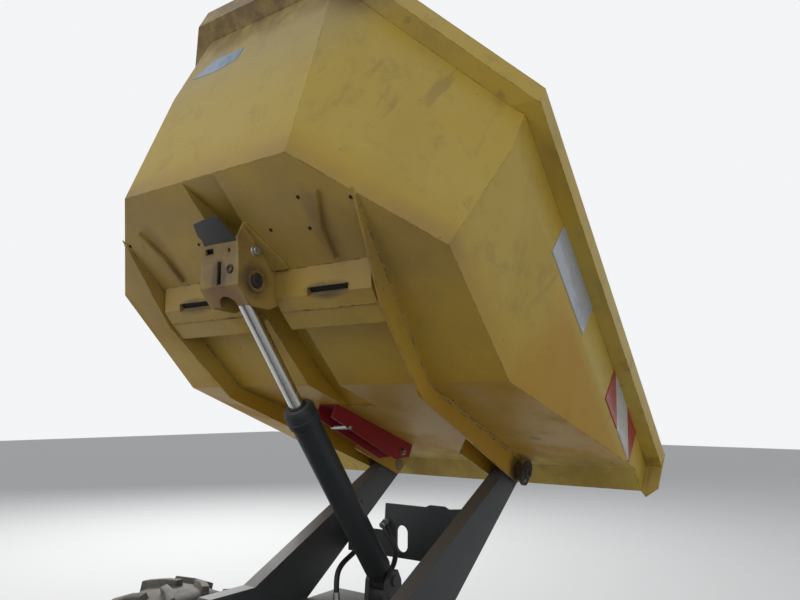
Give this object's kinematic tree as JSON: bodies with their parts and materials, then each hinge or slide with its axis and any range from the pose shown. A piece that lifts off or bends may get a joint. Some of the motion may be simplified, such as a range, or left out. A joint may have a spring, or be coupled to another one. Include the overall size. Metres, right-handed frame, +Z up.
{
  "type": "site dumper",
  "caption": "Articulated site dumper with an open seat, a folding roll-over frame and a forward-tipping load skip, held tipped by its ram.",
  "frame": {"origin": "on the ground, under the middle of the machine's box, with the steering pivot above it", "axes": "+X forward towards the skip's lip, +Y to the driver's left, +Z up"},
  "size_m": [4.2794, 1.774, 2.9713],
  "materials": {
    "skip_paint": "weathered yellow paint",
    "prop_paint": "dull red paint",
    "chassis_paint": "dusty anthracite paint",
    "wheel_paint": "dusty yellow paint",
    "bare_steel": "worn steel",
    "chrome": "ground and chromed",
    "tyre": "dusty tread rubber",
    "deck_plate": "dark tread plate",
    "dark_plastic": "moulded, matt",
    "seat_cover": "vinyl cover",
    "engine_metal": "painted casting",
    "cast_iron": "anthracite paint"
  },
  "bodies": {
    "front": {"front_arms": "chassis_paint", "front_cross_plate": "chassis_paint", "ram_base": "chassis_paint", "front_frame": "chassis_paint", "steer_ram_mount": "chassis_paint", "front_axle": "chassis_paint"},
    "skip": {"skip_shell": "skip_paint", "skip_rim": "skip_paint", "skip_ribs": "skip_paint", "skip_cross_member": "skip_paint", "ram_bracket": "skip_paint", "safety_prop": "prop_paint", "tip_pins": "bare_steel"},
    "ram_barrel": {"tip_ram_barrel": "chassis_paint"},
    "ram_rod": {"tip_ram_rod": "chrome"},
    "yoke": {"steering_yoke": "chassis_paint"},
    "steer_barrel": {"steer_ram_barrel": "chassis_paint"},
    "steer_rod": {"steer_ram_rod": "chrome"},
    "rear": {"rear_frame": "chassis_paint", "rear_axle": "chassis_paint", "operator_deck": "deck_plate", "dash_console": "dark_plastic", "steering_column": "dark_plastic", "seat_base": "chassis_paint", "seat_cushion": "seat_cover", "seat_back": "seat_cover", "engine_block": "engine_metal", "engine_bay": "chassis_paint", "fuel_tank": "chassis_paint", "hydraulic_tank": "chassis_paint", "counterweight": "cast_iron", "mudguard_left": "skip_paint", "mudguard_right": "skip_paint", "rops_lower": "chassis_paint"},
    "hood_lid": {"hood": "skip_paint", "rear_grille": "dark_plastic"},
    "rops_top": {"rops_upper": "chassis_paint"},
    "hand_wheel": {"steering_wheel": "dark_plastic"},
    "wheel_front_left": {"tyre_front_left": "tyre", "rim_front_left": "wheel_paint"},
    "wheel_front_right": {"tyre_front_right": "tyre", "rim_front_right": "wheel_paint"},
    "wheel_rear_left": {"tyre_rear_left": "tyre", "rim_rear_left": "wheel_paint"},
    "wheel_rear_right": {"tyre_rear_right": "tyre", "rim_rear_right": "wheel_paint"}
  },
  "joints": [
    {"name": "skip_tip", "type": "hinge", "parent": "front", "child": "skip", "pos_m": [1.85, 0, 1.27], "axis": [0, 1, 0], "range_deg": [-45, 20]},
    {"name": "tip_ram_swing", "type": "hinge", "parent": "front", "child": "ram_barrel", "pos_m": [1.388, 0, 0.885], "axis": [0, 1, 0], "range_deg": [-50, 22.5]},
    {"name": "tip_ram_extend", "type": "slide", "parent": "ram_barrel", "child": "ram_rod", "axis": [-0.6076, 0, 0.7942], "range_m": [-0.4325, 0.195]},
    {"name": "steer", "type": "hinge", "parent": "front", "child": "yoke", "pos_m": [0, 0, 0.56], "axis": [0, 0, 1], "range_deg": [-33, 33]},
    {"name": "steer_ram_swing", "type": "hinge", "parent": "front", "child": "steer_barrel", "pos_m": [0.52, 0.19, 0.56], "axis": [0, 0, 1], "range_deg": [-3, 3]},
    {"name": "steer_ram_extend", "type": "slide", "parent": "steer_barrel", "child": "steer_rod", "axis": [-1, 0, 0], "range_m": [-0.11, 0.11]},
    {"name": "rear_roll", "type": "hinge", "parent": "yoke", "child": "rear", "pos_m": [-0.2, 0, 0.56], "axis": [1, 0, 0], "range_deg": [-10, 10]},
    {"name": "hood_open", "type": "hinge", "parent": "rear", "child": "hood_lid", "pos_m": [-1.94, 0, 0.772], "axis": [0, -1, 0], "range_deg": [0, 60]},
    {"name": "rops_fold", "type": "hinge", "parent": "rear", "child": "rops_top", "pos_m": [-1.16, 0, 1.79], "axis": [0, -1, 0], "range_deg": [0, 90]},
    {"name": "hand_wheel_turn", "type": "hinge", "parent": "rear", "child": "hand_wheel", "pos_m": [-0.5553, 0, 1.48488], "axis": [-0.5, 0, 0.866], "continuous": true},
    {"name": "roll_front_left", "type": "hinge", "parent": "front", "child": "wheel_front_left", "pos_m": [1, 0.74, 0.425], "axis": [0, 1, 0], "continuous": true},
    {"name": "roll_front_right", "type": "hinge", "parent": "front", "child": "wheel_front_right", "pos_m": [1, -0.74, 0.425], "axis": [0, 1, 0], "continuous": true},
    {"name": "roll_rear_left", "type": "hinge", "parent": "rear", "child": "wheel_rear_left", "pos_m": [-1, 0.74, 0.425], "axis": [0, 1, 0], "continuous": true},
    {"name": "roll_rear_right", "type": "hinge", "parent": "rear", "child": "wheel_rear_right", "pos_m": [-1, -0.74, 0.425], "axis": [0, 1, 0], "continuous": true}
  ],
  "couplings": [
    {"joint": "tip_ram_swing", "follows": "skip_tip", "ratio": 1.0968},
    {"joint": "tip_ram_extend", "follows": "skip_tip", "m_per_rad": 0.5452},
    {"joint": "steer_ram_swing", "follows": "steer", "ratio": 0.034},
    {"joint": "steer_ram_extend", "follows": "steer", "m_per_rad": 0.181}
  ]
}
